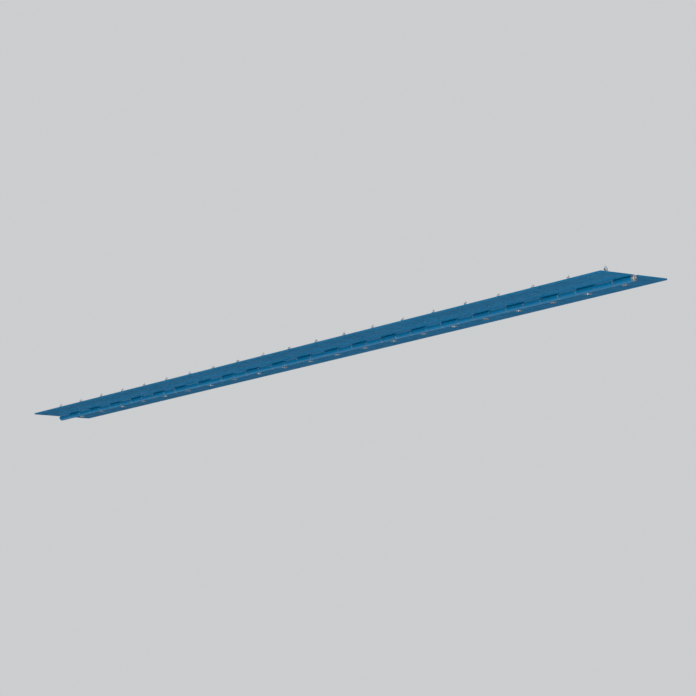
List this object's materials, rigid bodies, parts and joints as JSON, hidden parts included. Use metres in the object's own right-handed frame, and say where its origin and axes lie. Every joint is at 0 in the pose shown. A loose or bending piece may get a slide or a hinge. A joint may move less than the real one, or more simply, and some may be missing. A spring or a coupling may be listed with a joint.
{
  "type": "piano hinge",
  "caption": "Continuous strip hinge: two long steel leaves with interlocking knuckles on one full-length pin, fixed by countersunk screws.",
  "frame": {"origin": "middle of the cabinet leaf's mounting face: half way along the hinge, on the leaf's line of screws, 19.5 mm from the pin's centre", "axes": "+X along the pin, +Y from the pin towards the free edge of the cabinet leaf (into the cabinet), +Z out of both leaves' mounting faces (up, as installed with the door held open level)"},
  "size_m": [1.0684, 0.07, 0.0144],
  "materials": {
    "leaf_paint": "gloss blue powder coat over steel",
    "pin_steel": "drawn steel, spun ends",
    "screw_zinc": "bright zinc plate",
    "screw_paint": "steel screw coated together with the door leaf"
  },
  "bodies": {
    "cabinet_side": {"cabinet_leaf": "leaf_paint", "hinge_pin": "pin_steel", "cabinet_leaf_screw_01": "screw_zinc", "cabinet_leaf_screw_02": "screw_zinc", "cabinet_leaf_screw_03": "screw_zinc", "cabinet_leaf_screw_04": "screw_zinc", "cabinet_leaf_screw_05": "screw_zinc", "cabinet_leaf_screw_06": "screw_zinc", "cabinet_leaf_screw_07": "screw_zinc", "cabinet_leaf_screw_08": "screw_zinc", "cabinet_leaf_screw_09": "screw_zinc", "cabinet_leaf_screw_10": "screw_zinc", "cabinet_leaf_screw_11": "screw_zinc", "cabinet_leaf_screw_12": "screw_zinc", "cabinet_leaf_screw_13": "screw_zinc", "cabinet_leaf_screw_14": "screw_zinc", "cabinet_leaf_screw_15": "screw_zinc", "cabinet_leaf_screw_16": "screw_zinc", "cabinet_leaf_screw_17": "screw_zinc", "cabinet_leaf_screw_18": "screw_zinc", "cabinet_leaf_screw_19": "screw_zinc", "cabinet_leaf_screw_20": "screw_zinc", "cabinet_leaf_screw_21": "screw_zinc"},
    "door_side": {"door_leaf": "leaf_paint", "door_leaf_screw_01": "screw_paint", "door_leaf_screw_02": "screw_paint", "door_leaf_screw_03": "screw_paint", "door_leaf_screw_04": "screw_paint", "door_leaf_screw_05": "screw_paint", "door_leaf_screw_06": "screw_paint", "door_leaf_screw_07": "screw_paint", "door_leaf_screw_08": "screw_paint", "door_leaf_screw_09": "screw_paint", "door_leaf_screw_10": "screw_paint", "door_leaf_screw_11": "screw_paint", "door_leaf_screw_12": "screw_paint", "door_leaf_screw_13": "screw_paint", "door_leaf_screw_14": "screw_paint", "door_leaf_screw_15": "screw_paint", "door_leaf_screw_16": "screw_paint", "door_leaf_screw_17": "screw_paint", "door_leaf_screw_18": "screw_paint", "door_leaf_screw_19": "screw_paint", "door_leaf_screw_20": "screw_paint", "door_leaf_screw_21": "screw_paint"}
  },
  "joints": [
    {"name": "door_hinge", "type": "hinge", "parent": "cabinet_side", "child": "door_side", "pos_m": [0, -0.0195, -0.00316], "axis": [1, 0, 0], "range_deg": [-90, 180]}
  ]
}
